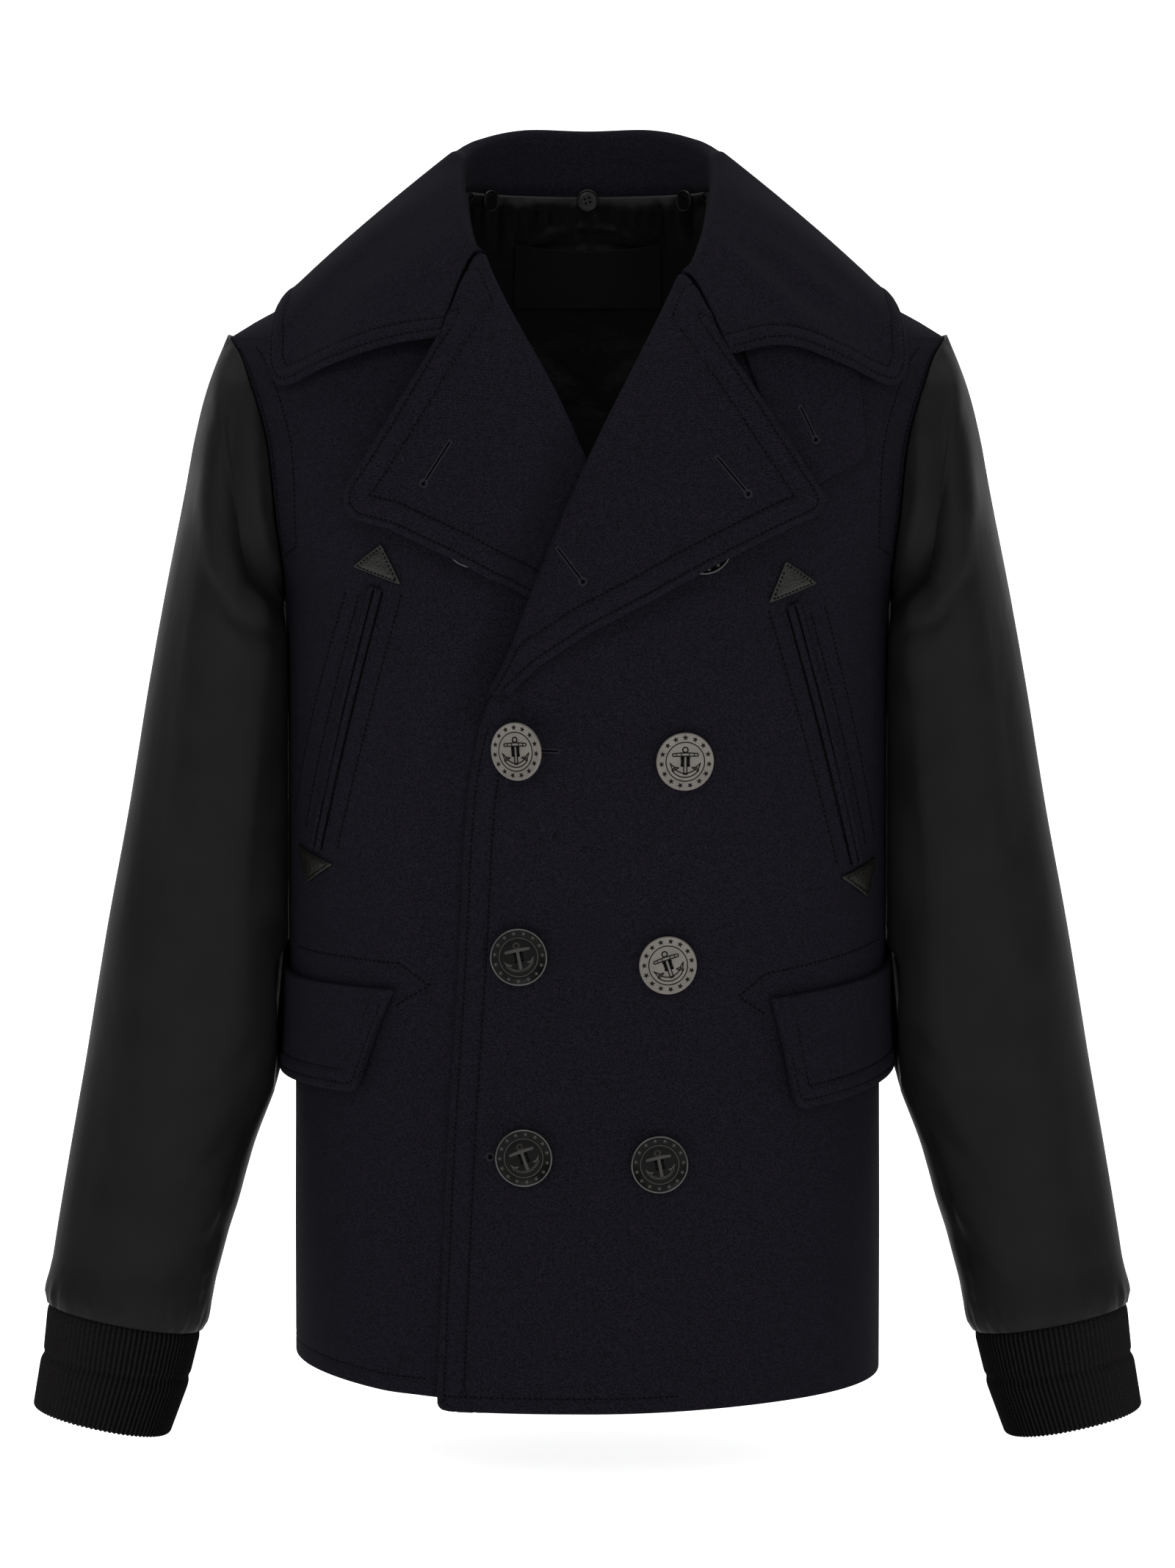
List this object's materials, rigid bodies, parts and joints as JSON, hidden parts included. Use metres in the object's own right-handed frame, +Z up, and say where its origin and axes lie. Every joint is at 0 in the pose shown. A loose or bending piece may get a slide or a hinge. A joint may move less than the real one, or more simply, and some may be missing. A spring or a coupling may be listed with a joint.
{
  "type": "pea coat",
  "caption": "Hollow double-breasted pea coat with wide lapels, a turned-down collar, slanted chest pockets, hip flaps, satin sleeves and ribbed knit cuffs.",
  "frame": {"origin": "middle of the neck opening, level with the seam between collar and back: where the wearer's shoulders and neck hold the coat up", "axes": "+Z up, towards the collar; -Y the front with the buttons; +X the side of the front that laps over (the wearer's left)"},
  "size_m": [0.6898, 0.283, 0.8149],
  "materials": {
    "wool": "matt felted wool, near-black navy",
    "satin": "soft satin",
    "knit": "matt rib knit",
    "leather": "glossy black",
    "button": "satin, engraved",
    "neck_button": "gloss",
    "quilted_lining": "satin, quilted",
    "label_tape": "satin tape, bare"
  },
  "bodies": {
    "root": {"front_over": "wool", "front_under": "wool", "back": "wool", "lapel_over": "wool", "lapel_under": "wool", "collar": "wool", "throat_tab": "wool", "hip_flap_right": "wool", "hip_flap_left": "wool", "chest_lip_inner_right": "wool", "chest_lip_outer_right": "wool", "chest_patch_upper_right": "leather", "chest_patch_lower_right": "leather", "chest_lip_inner_left": "wool", "chest_lip_outer_left": "wool", "chest_patch_upper_left": "leather", "chest_patch_lower_left": "leather", "sleeve_left": "satin", "cuff_left": "knit", "sleeve_right": "satin", "cuff_right": "knit", "button_edge_top": "button", "button_edge_middle": "button", "button_edge_low": "button", "button_inner_top": "button", "button_inner_middle": "button", "button_inner_low": "button", "button_lapel_left": "button", "button_lapel_right": "button", "button_neck_right": "neck_button", "button_neck_middle": "neck_button", "button_neck_left": "neck_button", "lining": "quilted_lining", "label": "label_tape"}
  },
  "joints": []
}
